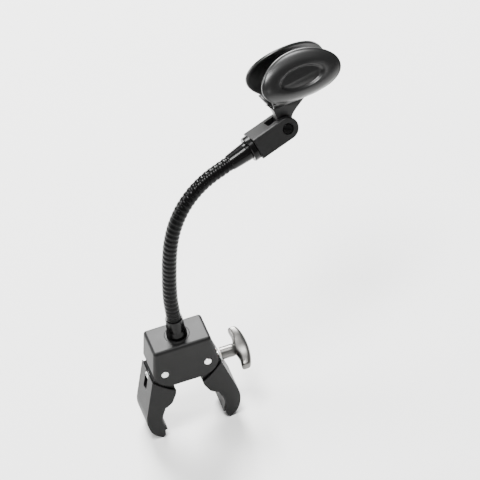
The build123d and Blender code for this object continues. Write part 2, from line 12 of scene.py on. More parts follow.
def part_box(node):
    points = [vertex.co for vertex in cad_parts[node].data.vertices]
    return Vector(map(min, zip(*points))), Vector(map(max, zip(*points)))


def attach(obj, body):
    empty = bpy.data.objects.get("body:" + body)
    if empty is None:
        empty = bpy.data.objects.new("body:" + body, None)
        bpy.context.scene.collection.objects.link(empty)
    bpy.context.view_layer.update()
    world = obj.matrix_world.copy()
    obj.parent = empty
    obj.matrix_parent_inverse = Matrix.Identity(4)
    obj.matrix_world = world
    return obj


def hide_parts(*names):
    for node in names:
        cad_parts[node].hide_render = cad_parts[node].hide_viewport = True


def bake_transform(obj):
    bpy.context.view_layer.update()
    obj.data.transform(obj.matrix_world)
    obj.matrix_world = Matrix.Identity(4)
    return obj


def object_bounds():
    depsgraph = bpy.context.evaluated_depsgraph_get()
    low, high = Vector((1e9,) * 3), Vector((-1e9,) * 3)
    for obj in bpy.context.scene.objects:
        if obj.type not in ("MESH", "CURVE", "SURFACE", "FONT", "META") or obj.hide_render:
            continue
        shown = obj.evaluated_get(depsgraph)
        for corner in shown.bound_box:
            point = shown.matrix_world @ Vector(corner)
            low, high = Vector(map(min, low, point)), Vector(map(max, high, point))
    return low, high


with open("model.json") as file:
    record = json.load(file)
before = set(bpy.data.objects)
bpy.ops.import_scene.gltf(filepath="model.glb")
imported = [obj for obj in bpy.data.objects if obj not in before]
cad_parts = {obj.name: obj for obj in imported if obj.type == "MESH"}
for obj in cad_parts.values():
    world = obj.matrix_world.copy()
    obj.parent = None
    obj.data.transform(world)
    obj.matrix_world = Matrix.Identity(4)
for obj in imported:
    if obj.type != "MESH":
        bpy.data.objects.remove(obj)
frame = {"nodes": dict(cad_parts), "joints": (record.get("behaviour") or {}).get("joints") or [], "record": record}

bl_info = {
    "name": "Airbrush holder finish",
    "version": (1, 0, 0),
    "blender": (4, 5, 0),
    "location": "View3D > Sidebar > Holder",
    "description": "Detailed surfaces and materials for a clamp-on gooseneck airbrush holder",
    "category": "Object",
}

MM = 0.001
NODES = frame["nodes"]
JOINTS = {joint["name"]: joint for joint in frame["joints"]}
MOUNTS = {mount["name"]: mount for mount in frame["record"]["mounts"]}
CAD_BOX = [list(corner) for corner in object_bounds()]
SHARP = radians(38)  # an edge that turns more than this stays crisp
SAME_POINT = 1e-6  # corners closer than this, in metres, are made one
CLOUD = 22 * MM  # width of the broad soft changes in a finish
FLOOR_REACH = 6.0  # metres from the middle of the floor to each side
WORLD_STRENGTH = 0.42
LAMPS = (  # name, watts, width in metres, place
    ("back_box", 330, 1.15, (0.35, 2.1, 2.1)),
    ("top_box", 120, 0.75, (-0.3, -0.45, 2.7)),
    ("left_box", 70, 1.0, (-2.2, 0.9, 1.2)),
    ("front_box", 8, 0.4, (0.3, -2.8, 1.0)),
)


# ---------------------------------------------------------------------------
# Colours and nodes
# ---------------------------------------------------------------------------
def linear(code):
    """Linear colour of an sRGB hex code."""
    share = np.array([int(code[i : i + 2], 16) for i in (1, 3, 5)]) / 255
    bent = np.where(share <= 0.04045, share / 12.92, ((share + 0.055) / 1.055) ** 2.4)
    return tuple(float(part) for part in bent)


def add(tree, kind, settings=None, **links):
    """One node, with its settings and links.

    settings holds properties by name, and sockets by name or number. links feeds sockets
    from the outputs of other nodes.
    """
    node = tree.nodes.new(kind)
    for key, value in (settings or {}).items():
        if isinstance(key, str) and hasattr(node, key):
            setattr(node, key, value)
        else:
            node.inputs[key].default_value = value
    for key, output in links.items():
        tree.links.new(output, node.inputs[key.replace("_", " ")])
    return node


def finish(name, colour, rough, grain, relief, spread=0.05, tint=0.12, **surface):
    """A surface with a fine grain in its bump, and broad soft changes in its colour and gloss.

    grain is the width of one grain and relief its height, both in metres. spread is how far
    the roughness strays and tint how far the colour does. surface sets the shader's sockets.
    """
    material = bpy.data.materials.new(name)
    material.use_nodes = True
    tree = material.node_tree
    tree.nodes.clear()
    place = add(tree, "ShaderNodeTexCoord")
    fine = add(
        tree,
        "ShaderNodeTexNoise",
        {"Scale": 1 / grain, "Detail": 2.0, "Roughness": 0.55},
        Vector=place.outputs["Object"],
    )
    broad = add(
        tree,
        "ShaderNodeTexNoise",
        {"Scale": 1 / CLOUD, "Detail": 3.0},
        Vector=place.outputs["Object"],
    )
    gloss = add(
        tree,
        "ShaderNodeMapRange",
        {"To Min": rough - spread, "To Max": rough + spread},
        Value=broad.outputs["Fac"],
    )
    dark = tuple(part * (1 - tint) for part in colour) + (1.0,)
    light = tuple(min(1.0, part * (1 + tint)) for part in colour) + (1.0,)
    shade = add(
        tree,
        "ShaderNodeMix",
        {"data_type": "RGBA", 6: dark, 7: light},
        Factor=broad.outputs["Fac"],
    )
    bump = add(
        tree,
        "ShaderNodeBump",
        {"Strength": 1.0, "Distance": relief},
        Height=fine.outputs["Fac"],
    )
    shader = add(
        tree,
        "ShaderNodeBsdfPrincipled",
        surface,
        Base_Color=shade.outputs[2],
        Roughness=gloss.outputs["Result"],
        Normal=bump.outputs["Normal"],
    )
    add(tree, "ShaderNodeOutputMaterial", Surface=shader.outputs["BSDF"])
    return material


# ---------------------------------------------------------------------------
# Surfaces
# ---------------------------------------------------------------------------
def tiles(count, columns, rows_wrap):
    """Corner numbers of the quads of a grid whose columns close on themselves."""
    index = np.arange(count * columns).reshape(count, columns)
    index = np.concatenate([index, index[:, :1]], axis=1)
    if rows_wrap:
        index = np.concatenate([index, index[:1]], axis=0)
    return np.stack(
        [index[:-1, :-1], index[1:, :-1], index[1:, 1:], index[:-1, 1:]], axis=-1
    ).reshape(-1, 4)


def solid(name, shells, material):
    """A piece made of closed shells.

    Each shell is a pair: a grid of points, rows by columns by three, whose columns close on
    themselves, and "caps" for a flat face at each end, "poles" where each end row is one
    point, or "ring" where the last row joins the first.
    """
    points, faces, start = [], [], 0
    for grid, ends in shells:
        rows, columns = grid.shape[:2]
        points.append(grid.reshape(-1, 3))
        faces += (tiles(rows, columns, ends == "ring") + start).tolist()
        if ends == "caps":
            faces.append((np.arange(columns) + start).tolist())
            faces.append((np.arange((rows - 1) * columns, rows * columns) + start).tolist())
        start += rows * columns
    mesh = bpy.data.meshes.new(name)
    mesh.from_pydata(np.concatenate(points).tolist(), [], faces)
    shape = bmesh.new()
    shape.from_mesh(mesh)
    bmesh.ops.remove_doubles(shape, verts=shape.verts, dist=SAME_POINT)
    bmesh.ops.recalc_face_normals(shape, faces=shape.faces)
    shape.to_mesh(mesh)
    shape.free()
    mesh.shade_smooth()
    mesh.set_sharp_from_angle(angle=SHARP)
    mesh.materials.append(material)
    piece = bpy.data.objects.new(name, mesh)
    bpy.context.scene.collection.objects.link(piece)
    return piece


def around(count):
    """Angles evenly round a circle, without the last, which is the first again."""
    return np.linspace(0, 2 * pi, count, endpoint=False)


def square(first, second):
    """Unit vectors: the first as it is, the second made square to it, and their product."""
    first = np.array(first, float)
    first = first / np.linalg.norm(first)
    second = np.array(second, float)
    second = second - first * (second @ first)
    second = second / np.linalg.norm(second)
    return first, second, np.cross(first, second)


def lathe(profile, origin, axis, columns=72):
    """A profile of (distance along the axis, radius) turned round the axis.

    Point = origin + axis * distance + radius * (cos of the angle across + sin of it up).
    """
    aside = (0.3, 0.5, 0.8) if abs(axis[2]) < 0.9 else (1, 0, 0)  # any direction off the axis
    along, across, up = square(axis, aside)
    reach, radius = np.array(profile, float).T
    angle = around(columns)
    spoke = np.cos(angle)[:, None] * across + np.sin(angle)[:, None] * up
    return np.array(origin) + reach[:, None, None] * along + radius[:, None, None] * spoke


def blunt(angle, power):
    """Cosine and sine drawn out towards the corners of a square: |value| to that power.

    A power of 1 leaves a circle, and a lower one is squarer.
    """
    turn = np.stack([np.cos(angle), np.sin(angle)])
    return np.sign(turn) * np.abs(turn) ** power


def smooth_step(value):
    """0 below 0, 1 above 1, and an S between: 3 t squared less 2 t cubed."""
    value = np.clip(value, 0, 1)
    return value * value * (3 - 2 * value)


def paint(material, *names):
    """The material on CAD nodes that are shown as they are."""
    for name in names:
        for slot in NODES[name].material_slots:
            slot.material = material


# ---------------------------------------------------------------------------
# Sizes and colours that a user would change
# ---------------------------------------------------------------------------
def length(name, about, millimetres):
    """A length, with its default given in millimetres."""
    return bpy.props.FloatProperty(
        name=name, description=about, default=millimetres * MM, min=0, precision=5, unit="LENGTH"
    )


def colour(name, about, code):
    """A colour, with its default given as an sRGB hex code."""
    return bpy.props.FloatVectorProperty(
        name=name, description=about, default=linear(code), size=3, min=0, max=1, subtype="COLOR"
    )


def angle(name, about, degrees):
    """An angle, with its default given in degrees."""
    return bpy.props.FloatProperty(
        name=name, description=about, default=radians(degrees), unit="ROTATION"
    )


class HolderColours(bpy.types.PropertyGroup):
    """Colours of the finishes."""

    powder: colour("Powder coat", "Castings of the clamp", "#050505")
    rubber: colour("Rubber", "Grip pads", "#0d0d0d")
    zinc: colour("Cast zinc", "Wing knob", "#5f5e5c")
    steel: colour("Zinc plate", "Screws, nuts and swivels", "#d2d3d4")
    rivet: colour("Rivets", "Polished rivet heads", "#ececea")
    enamel: colour("Gloss enamel", "Ferrules of the neck", "#050505")
    wire: colour("Plated wire", "Winding of the neck", "#060606")
    plastic: colour("Moulded plastic", "Clip", "#080808")
    nylon: colour("Nylon", "Washers", "#dedcd6")
    brass: colour("Brass", "Insert in the fork", "#c9a558")
    floor: colour("Floor", "Plain floor", "#e4e4e3")


class HolderSizes(bpy.types.PropertyGroup):
    """Sizes of the detail that is added to the frame."""

    wire_pitch: length("Winding pitch", "One turn of the neck's two wires", 4.5)
    wire_depth: length("Winding depth", "Crest of the outer wire above the valleys", 0.6)
    thread_pitch: length("Thread pitch", "Pitch of the clamp screw", 1.0)
    knob_span: length("Knob span", "Tip to tip of the knob's wings", 39.8)
    knob_length: length("Knob length", "Hub's face to the crown of the wings", 24.4)
    knob_width: length("Knob width", "Thickness of a wing", 10.9)
    knob_turned: angle("Knob turned", "Wings turned back from upright", 76.0)
    clip_wall: length("Clip wall", "Thickness of the clip's wings", 3.4)
    lip_radius: length("Lip radius", "Arc on which the wings lean in above the channel", 34.0)
    wing_length: length("Wing length", "Long axis of each oval wing", 72.0)
    wing_height: length("Wing height", "Short axis of each oval wing", 41.6)
    wing_rise: length("Wing rise", "Centre of the wings above the channel's axis", 3.4)
    oval_length: length("Oval length", "Long axis of the sunk oval", 41.5)
    oval_height: length("Oval height", "Short axis of the sunk oval", 18.4)
    oval_depth: length("Oval depth", "How far the oval is sunk", 2.5)
    oval_wall: length("Oval wall", "Width of the slope round the oval", 1.5)


class HolderStage(bpy.types.PropertyGroup):
    """Camera of the stage."""

    azimuth: angle("Azimuth", "Camera round to the left of the front", 10.3)
    elevation: angle("Elevation", "Camera above the floor's level", 44.0)
    roll: angle("Roll", "Camera turned about its own axis", -10.2)
    distance: length("Distance", "Camera to the object", 8000)
    field: length("Field", "Width that the frame takes in at that distance", 400)
    aim: bpy.props.FloatVectorProperty(
        name="Aim",
        description="Point in the middle of the frame",
        default=(73.1 * MM, 34.6 * MM, 119.3 * MM),
        size=3,
        subtype="XYZ",
        unit="LENGTH",
    )


# ---------------------------------------------------------------------------
# Materials
#
# The grain of most of these finishes is under 0.3 mm wide, too fine to show, so they are
# drawn at 0.4 mm or more. The enamel's slow waves keep their own size.
# ---------------------------------------------------------------------------
def powder_coat_sprayed(colours):
    """Polyester powder coat, sprayed and baked on cast aluminium: an even orange-peel grain."""
    # The real grain is 0.3 mm; it is drawn at 0.7 mm so that it shows at all.
    return finish(
        "powder_coat_sprayed",
        tuple(colours.powder),
        rough=0.47,
        grain=0.7 * MM,
        relief=0.045 * MM,
        IOR=1.5,
        **{"Specular IOR Level": 0.2},
    )


def rubber_moulded(colours):
    """Nitrile rubber, moulded in a blasted tool: dead matt, with a faint bloom."""
    return finish(
        "rubber_moulded",
        tuple(colours.rubber),
        rough=0.78,
        grain=0.5 * MM,
        relief=0.03 * MM,
        IOR=1.52,
        **{"Sheen Weight": 0.15, "Sheen Roughness": 0.5},
    )


def zinc_die_cast_satin(colours):
    """Zinc alloy, die cast and tumbled: a satin skin with soft broad highlights."""
    return finish(
        "zinc_die_cast_satin",
        tuple(colours.zinc),
        rough=0.33,
        grain=0.6 * MM,
        relief=0.02 * MM,
        tint=0.06,
        Metallic=1.0,
    )


def steel_zinc_plated(colours):
    """Steel, turned and bright zinc plated: fine tool lines under a clear shine."""
    return finish(
        "steel_zinc_plated",
        tuple(colours.steel),
        rough=0.26,
        grain=0.4 * MM,
        relief=0.008 * MM,
        tint=0.08,
        Metallic=1.0,
    )


def steel_nut_painted_highlight(colours):
    """Steel, ground and bright zinc plated, its colour raised a quarter above the other steel: a painted
    highlight, so that it reads nearly white in the shaded slot.
    """
    return finish(
        "steel_nut_painted_highlight",
        # painted highlight: the steel's colour times 1.25 stands in for light on the nut in the slot
        tuple(min(1.0, part * 1.25) for part in colours.steel),
        rough=0.42,
        grain=0.5 * MM,
        relief=0.006 * MM,
        tint=0.03,
        Metallic=1.0,
    )


def aluminium_rivet_polished(colours):
    """Aluminium, cold headed: the polished punch leaves it nearly white."""
    return finish(
        "aluminium_rivet_polished",
        tuple(colours.rivet),
        rough=0.3,
        grain=0.5 * MM,
        relief=0.006 * MM,
        tint=0.03,
        Metallic=1.0,
    )


def gloss_enamel_stoved(colours):
    """Black stoving enamel on turned brass: wet-looking, with long streaks of light."""
    return finish(
        "gloss_enamel_stoved",
        tuple(colours.enamel),
        rough=0.2,
        grain=1.4 * MM,
        relief=0.004 * MM,
        spread=0.03,
        IOR=1.52,
        **{"Specular IOR Level": 0.12, "Coat Weight": 0.03, "Coat Roughness": 0.1},
    )


def spring_wire_blackened(colours):
    """Spring steel wire, drawn and black plated: dark, with a small bright glint on each turn."""
    return finish(
        "spring_wire_blackened",
        tuple(colours.wire),
        rough=0.27,
        grain=0.5 * MM,
        relief=0.01 * MM,
        IOR=1.55,
        **{"Specular IOR Level": 0.08},
    )


def abs_moulded_satin(colours):
    """ABS, moulded in a fine-etched tool: a satin black that spreads each light softly."""
    return finish(
        "abs_moulded_satin",
        tuple(colours.plastic),
        rough=0.34,
        grain=0.45 * MM,
        relief=0.012 * MM,
        IOR=1.53,
        **{"Specular IOR Level": 0.42},
    )


def nylon_filled_moulded(colours):
    """Glass-filled nylon, moulded: a duller black with a slightly open skin."""
    return finish(
        "nylon_filled_moulded",
        tuple(part * 1.2 for part in colours.plastic),
        rough=0.45,
        grain=0.6 * MM,
        relief=0.03 * MM,
        IOR=1.53,
        **{"Specular IOR Level": 0.25},
    )


def nylon_natural_moulded(colours):
    """Unfilled nylon, moulded: milky and smooth."""
    return finish(
        "nylon_natural_moulded",
        tuple(colours.nylon),
        rough=0.42,
        grain=0.8 * MM,
        relief=0.01 * MM,
        tint=0.03,
        IOR=1.53,
        **{"Subsurface Weight": 0.1, "Subsurface Scale": 0.002},
    )


def brass_turned(colours):
    """Free-cutting brass, turned: warm yellow, only seen inside the fork's root."""
    return finish(
        "brass_turned",
        tuple(colours.brass),
        rough=0.3,
        grain=0.4 * MM,
        relief=0.01 * MM,
        Metallic=1.0,
    )


def paper_sweep(colours):
    """Coated paper, rolled out as a sweep: matt and even, so that it only takes soft shadows."""
    return finish(
        "paper_sweep",
        tuple(colours.floor),
        rough=0.85,
        grain=3 * MM,
        relief=0.01 * MM,
        tint=0.01,
        IOR=1.45,
    )


MAKERS = {
    "powder": powder_coat_sprayed,
    "rubber": rubber_moulded,
    "zinc": zinc_die_cast_satin,
    "steel": steel_zinc_plated,
    "nut": steel_nut_painted_highlight,
    "rivet": aluminium_rivet_polished,
    "enamel": gloss_enamel_stoved,
    "wire": spring_wire_blackened,
    "plastic": abs_moulded_satin,
    "fork": nylon_filled_moulded,
    "nylon": nylon_natural_moulded,
    "brass": brass_turned,
    "floor": paper_sweep,
}
MADE = {}


def stuff(key):
    """The material of that name, made once."""
    if key not in MADE:
        MADE[key] = MAKERS[key](bpy.context.scene.holder_colours)
    return MADE[key]


# ---------------------------------------------------------------------------
# Pieces
# ---------------------------------------------------------------------------
class HOLDER_OT_castings(bpy.types.Operator):
    """Powder-coated housing, jaws and bush of the clamp"""

    bl_idname = "holder.castings"
    bl_label = "Clamp castings"

    def execute(self, context):
        paint(stuff("powder"), "clamp_housing", "right_jaw", "left_jaw")
        low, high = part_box("neck_bush")
        stud_low, stud_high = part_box("neck_stud")
        outer = (high.x - low.x) / 2
        bore = (stud_high.x - stud_low.x) / 2
        tall = high.z - low.z
        soft = 0.6 * MM
        # The rim's corner is a quarter circle, so that the joint round it shows as a line.
        bend = np.linspace(0, pi / 2, 7)
        rise = tall - soft + soft * np.sin(bend)
        corner = np.stack([rise, outer - soft + soft * np.cos(bend)], axis=1)
        profile = np.concatenate([[(0, bore), (0, outer)], corner, [(tall, bore)]])
        shells = [(lathe(profile, (0, 0, low.z), (0, 0, 1)), "ring")]
        bush = solid("bush_rim", shells, stuff("powder"))
        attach(bush, "root")
        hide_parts("neck_bush")
        return {"FINISHED"}


class HOLDER_OT_hardware(bpy.types.Operator):
    """Rivets, swivels, washers, studs and nuts"""

    bl_idname = "holder.hardware"
    bl_label = "Hardware"

    def execute(self, context):
        paint(stuff("rivet"), "pivot_pins")
        paint(stuff("steel"), "swivel_barrel", "retaining_ring", "head_stud", "pivot_nut")
        paint(stuff("steel"), "neck_stud", "stud_washer", "stud_nut")
        # The barrel nut takes the brighter copy of the steel, a painted highlight.
        paint(stuff("nut"), "barrel_nut")
        paint(stuff("enamel"), "pivot_screw")
        paint(stuff("nylon"), "thrust_washer", "tilt_washers")
        paint(stuff("brass"), "thread_insert")
        return {"FINISHED"}


class HOLDER_OT_pads(bpy.types.Operator):
    """Rubber pads let into the hollow faces of the jaws"""

    bl_idname = "holder.pads"
    bl_label = "Grip pads"

    def execute(self, context):
        paint(stuff("rubber"), "right_pad", "left_pad")
        return {"FINISHED"}


class HOLDER_OT_screw(bpy.types.Operator):
    """Clamp screw with its thread cut"""

    bl_idname = "holder.screw"
    bl_label = "Clamp screw"

    def execute(self, context):
        pitch = context.scene.holder_sizes.thread_pitch
        low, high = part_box("clamp_screw")
        radius = (high.z - low.z) / 2
        middle = (high.z + low.z) / 2
        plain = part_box("swivel_barrel")[0].x  # the thread stops at the swivel barrel
        rows_per_turn = 9
        rows = int((high.x - low.x) / pitch * rows_per_turn)
        turn = around(48)
        reach = np.linspace(low.x, high.x, rows)[:, None]
        # Triangular ridges on a helix: height goes with the distance from the nearest crest.
        # Over its first turn the screw also tapers in by the depth of the thread.
        depth = 0.55 * pitch
        phase = (reach / pitch + turn / (2 * pi)) % 1
        ridge = np.abs(2 * phase - 1)
        taper = 1 - smooth_step((reach - low.x) / (1.2 * pitch))
        cut = smooth_step((plain - reach) / pitch)
        size = radius - depth * ((1 - ridge) * cut + taper)
        grid = np.stack(
            [reach + 0 * turn, size * np.cos(turn), middle + size * np.sin(turn)], axis=-1
        )
        piece = solid("screw_thread", [(grid, "caps")], stuff("steel"))
        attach(piece, "knob")
        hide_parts("clamp_screw")
        return {"FINISHED"}


# The hub from the washer outwards: (distance along the screw, radius) in millimetres.
HUB = ((0, 4.6), (0, 5.1), (0.3, 5.4), (7.5, 5.4), (10.2, 5.5), (12.0, 5.2), (13.5, 4.0))
HUB_GAP = 0.05 * MM  # the hub's face is set back from the CAD knob's own face by this


def knob_wings(start, height, sizes):
    """Both wings as one loft of blunt sections along the span.

    The outer edge falls back along a parabola from its crown. The inner edge comes in to the
    hub along a cosine, where the wing is also thinner. Each section has the points: middle +
    half its reach along the screw * blunt cosine, and half its thickness * blunt sine.
    """
    fall = 2.9 * MM  # of the outer edge, from its crown to the tips
    reach, more_reach = 9.9 * MM, 2.8 * MM  # along the screw at the tips, and added at the hub
    pinch = 1.1 * MM  # taken off half the thickness at the hub
    half = sizes.knob_span / 2
    bow = np.linspace(-pi / 2, pi / 2, 65)[:, None]
    span = half * np.sin(bow)
    share = np.abs(span) / half
    outer = start + sizes.knob_length - fall * share**2
    waist = 0.5 + 0.5 * np.cos(np.clip(share * 1.5, 0, 1) * pi)
    inner = outer - (reach + more_reach * waist)
    end = np.clip(np.cos(bow), 0, 1) ** 0.22  # closes the tips with a blunt round
    thick = (outer - inner) / 2 * end
    deep = (sizes.knob_width / 2 - pinch * waist) * end
    across, over = blunt(around(48), 0.62)
    forward = (outer + inner) / 2 + thick * across
    turned = sizes.knob_turned
    spoke = np.array([0, sin(turned), cos(turned)])
    face = np.array([0, -cos(turned), sin(turned)])
    middle = np.array([0, 0, height])
    return (
        middle
        + forward[..., None] * np.array([1.0, 0, 0])
        + (span + 0 * across)[..., None] * spoke
        + (deep * over)[..., None] * face
    )


class HOLDER_OT_knob(bpy.types.Operator):
    """Cast wing knob: a round hub that swells into two blunt wings"""

    bl_idname = "holder.knob"
    bl_label = "Wing knob"

    def execute(self, context):
        sizes = context.scene.holder_sizes
        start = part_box("wing_knob")[0].x
        height = JOINTS["knob_turn"]["pos_m"][2]
        shells = [
            (knob_wings(start, height, sizes), "poles"),
            (lathe(MM * np.array(HUB), (start + HUB_GAP, 0, height), (1, 0, 0)), "caps"),
        ]
        piece = solid("knob_casting", shells, stuff("zinc"))
        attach(piece, "knob")
        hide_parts("wing_knob")
        return {"FINISHED"}


class HOLDER_OT_ferrules(bpy.types.Operator):
    """Enamelled ferrules and lock ring"""

    bl_idname = "holder.ferrules"
    bl_label = "Ferrules"

    def execute(self, context):
        paint(stuff("enamel"), "base_ferrule", "top_ferrule", "lock_ring")
        return {"FINISHED"}


def neck_line():
    """The neck's centreline: joints, the way it leans, headings, bends and arc lengths.

    The neck is a chain of arcs in one upright plane, each tangent to the last, so the heading
    at a joint is twice the chord's angle less the heading at the joint before.
    """
    order = [j for j in frame["joints"] if "_bend_" in j["name"] or j["name"].startswith("sway_")]
    points = np.array([j["pos_m"] for j in order])
    lean = points[-1] - points[0]
    lean[2] = 0
    lean /= np.linalg.norm(lean)
    flat = np.stack([(points - points[0]) @ lean, points[:, 2] - points[0, 2]], axis=1)
    chord = np.diff(flat, axis=0)
    slope = np.arctan2(chord[:, 1], chord[:, 0])
    heading = [pi / 2]
    for value in slope:
        heading.append(2 * value - heading[-1])
    heading = np.array(heading)
    bend = np.diff(heading)
    span = np.linalg.norm(chord, axis=1) / np.sinc(bend / 2 / pi)
    return points, lean, heading, bend, span


def along_neck(station):
    """Points and headings at distances from the first joint.

    Within an arc, point = start + travel * sinc(turned / 2) * direction at half the turn.
    """
    points, lean, heading, bend, span = neck_line()
    start = np.concatenate([[0], np.cumsum(span)])
    part = np.clip(np.searchsorted(start, station, side="right") - 1, 0, len(start) - 1)
    travel = station - start[part]
    rate = np.concatenate([bend / span, [0]])[part] * (station >= 0)
    turned = rate * travel
    halfway = heading[part] + turned / 2
    step = travel * np.sinc(turned / 2 / pi)
    up = np.array([0, 0, 1.0])
    place = (
        points[part]
        + (step * np.cos(halfway))[:, None] * lean
        + (step * np.sin(halfway))[:, None] * up
    )
    final = heading[part] + turned
    along = np.cos(final)[:, None] * lean + np.sin(final)[:, None] * up
    return place, along


def winding(sizes, begin, end, radius):
    """Skin of the two wires wound together, between two stations of the neck.

    The radius follows the phase of a helix: the outer wire is a broad round crest, and
    between its turns the inner round wire shows as a narrow lower one.
    """
    outer_half, inner_half = 0.36, 0.17  # half the width of each wire, in pitches
    inner_crest = 0.45  # height of the inner wire's crest, where the outer one's is 1
    rows_per_pitch = 16
    rows = int(round((end - begin) / (sizes.wire_pitch / rows_per_pitch))) + 1
    station = np.linspace(begin, end, rows)
    turn = around(60)
    place, along = along_neck(station)
    lean = neck_line()[1]
    side = np.cross(along, np.cross(lean, [0, 0, 1.0])[None, :])
    other = np.cross(along, side)
    phase = (station[:, None] / sizes.wire_pitch + turn / (2 * pi)) % 1
    outer = np.sqrt(np.clip(1 - ((phase - 0.5) / outer_half) ** 2, 0, 1)) ** 0.8
    inner = np.sqrt(np.clip(1 - (((phase + 0.5) % 1 - 0.5) / inner_half) ** 2, 0, 1))
    height = np.maximum(outer, inner_crest * inner)
    size = radius - sizes.wire_depth * (1 - height)
    spoke = np.cos(turn)[:, None] * side[:, None, :] + np.sin(turn)[:, None] * other[:, None, :]
    return place[:, None, :] + size[..., None] * spoke


class HOLDER_OT_neck(bpy.types.Operator):
    """Gooseneck wound from two wires, in lengths that each run across one joint"""

    bl_idname = "holder.neck"
    bl_label = "Gooseneck"

    def execute(self, context):
        sizes = context.scene.holder_sizes
        low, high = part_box("neck_link_01")
        radius = (high.x - low.x) / 2
        points, _, _, _, spans = neck_line()
        span = spans.mean()
        foot = low.z - points[0, 2]
        ferrule_low, ferrule_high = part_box("top_ferrule")
        # The last length runs on inside the top ferrule, by this share of its diagonal.
        hidden = 0.4 * (ferrule_high - ferrule_low).length
        bodies = ["root"] + [f"neck_{number:02d}" for number in range(2, 12)] + ["head"]
        last = len(bodies) - 2
        for number in range(last + 1):
            centre = number * span
            begin = foot if number == 0 else centre - span / 2
            end = centre + span + hidden if number == last else centre + span / 2
            grid = winding(sizes, begin, end, radius)
            piece = solid(
                f"neck_winding_{number + 1:02d}", [(grid, "caps")], stuff("wire")
            )
            links = [f"neck_link_{number + 1:02d}"] + (["neck_link_12"] if number == last else [])
            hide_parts(*links)
            ends, _ = along_neck(np.array([centre - span / 2, centre + span / 2]))
            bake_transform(piece)
        return {"FINISHED"}


class HOLDER_OT_fork(bpy.types.Operator):
    """Moulded fork that carries the clip"""

    bl_idname = "holder.fork"
    bl_label = "Fork"

    def execute(self, context):
        paint(stuff("fork"), "yoke")
        return {"FINISHED"}


class ClipFrame:
    """The clip's own frame: pivot, forward along the channel, back along the pin, and up."""

    def __init__(self):
        mount = MOUNTS["airbrush_channel"]
        self.pivot = np.array(JOINTS["clip_tilt"]["pos_m"])
        self.forward, self.back, self.up = square(mount["axis"], JOINTS["clip_tilt"]["axis"])
        offset = np.array(mount["pos_m"]) - self.pivot
        self.channel_radius = mount["dims"]["r_mm"] * MM
        self.wing_forward = offset @ self.forward
        self.channel_height = offset @ self.up

    def world(self, forward, back, up):
        """Points in the scene: pivot + each coordinate * its own axis of the clip."""
        parts = np.broadcast_arrays(forward, back, up)
        return (
            self.pivot
            + parts[0][..., None] * self.forward
            + parts[1][..., None] * self.back
            + parts[2][..., None] * self.up
        )


def wing(clip, sizes, side):
    """One oval wing: a shell on the channel's section, with a rounded rim and a sunk oval.

    Each ring has forward = half length * cos and up = half height * sin, and grows from a
    point through the sunk oval to the wing's outline. The middle of the wall lies on the
    channel's circle below its axis and on the lip arc above it; the two faces stand off it
    along its normal, and meet round the rim. Outside the oval the outer face swells along a
    parabola, and a low bell-shaped ridge crosses the oval.
    """
    face_rows, rim_rows = 60, 15
    swell_height = 1.1 * MM
    swell_peak = 0.9  # place of the parabola's top, where 0 is the oval's edge and 2 the rim
    ridge_height, ridge_width, ridge_slope = 0.3 * MM, 1.4 * MM, 0.1
    half_wall = sizes.clip_wall / 2
    turn = around(180)[None, :]
    flat = np.linspace(0, 1, face_rows + 1)[:-1]
    out, cap = blunt(np.linspace(0, pi, rim_rows), 0.62)
    share = np.concatenate([flat, np.ones(rim_rows), flat[::-1]])[:, None]
    beyond = np.concatenate([0 * flat, cap, 0 * flat])[:, None]
    face = np.concatenate([0 * flat + 1, out, 0 * flat - 1])[:, None]
    stops = (0, 0.5, 1)
    longest = (0, sizes.oval_length / 2, sizes.wing_length / 2 - half_wall)
    highest = (0, sizes.oval_height / 2, sizes.wing_height / 2 - half_wall)
    half_length = np.interp(share, stops, longest) + half_wall * beyond
    half_height = np.interp(share, stops, highest) + half_wall * beyond
    forward = half_length * np.cos(turn)
    rise = sizes.wing_rise + half_height * np.sin(turn)
    middle = clip.channel_radius + half_wall
    lip = sizes.lip_radius - half_wall
    level = middle - lip
    low = np.sqrt(np.clip(middle**2 - rise**2, 0, None))
    high = np.sqrt(lip**2 - rise**2)
    reach = np.where(rise < 0, low, level + high)
    out_part = np.where(rise < 0, low / middle, high / lip)
    up_part = np.where(rise < 0, rise / middle, rise / lip)
    inside = 1 - 2 * share
    sunk = smooth_step(inside * sizes.oval_height / 2 / sizes.oval_wall)
    tilted = (rise - sizes.wing_rise) - ridge_slope * forward
    ridge = ridge_height * np.exp(-((tilted / ridge_width) ** 2)) * smooth_step(inside * 2.5)
    outward = np.clip(2 * share - 1, 0, 1)
    swell = swell_height * (1 - (2 * outward - swell_peak) ** 2)
    swell_at_rim = swell_height * (1 - (2 - swell_peak) ** 2)
    front = swell - sizes.oval_depth * sunk + ridge
    rim = swell_at_rim * np.clip(face, 0, 1)
    stand = face * half_wall + np.where(face > 0.99, front, rim)
    return clip.world(
        clip.wing_forward + forward,
        side * (reach + stand * out_part),
        clip.channel_height + rise + stand * up_part,
    )


def saddle(clip, sizes):
    """Floor of the channel between the wings: a band on the circle, blunt at both ends.

    Point = radius * (sin, -cos) of the angle from straight down, with the radius and the
    place forward both going round a blunt oval section.
    """
    inset = 0.1 * MM  # keeps the band's faces just inside the wings' faces
    swing_end = radians(56)
    half_wall = sizes.clip_wall / 2 - inset
    middle = clip.channel_radius + sizes.clip_wall / 2
    swing = np.linspace(-swing_end, swing_end, 60)[:, None]
    wide, thick = blunt(around(64), 0.36)
    # The band is widest at its two ends and narrows towards the bottom of the channel.
    drop = middle * (np.cos(swing) - cos(swing_end))
    back = -9.0 * MM + 0.4 * drop
    front = 40.0 * MM - 0.7 * drop
    radius = middle + half_wall * thick
    return clip.world(
        (back + front) / 2 + (front - back) / 2 * wide,
        radius * np.sin(swing),
        clip.channel_height - radius * np.cos(swing),
    )


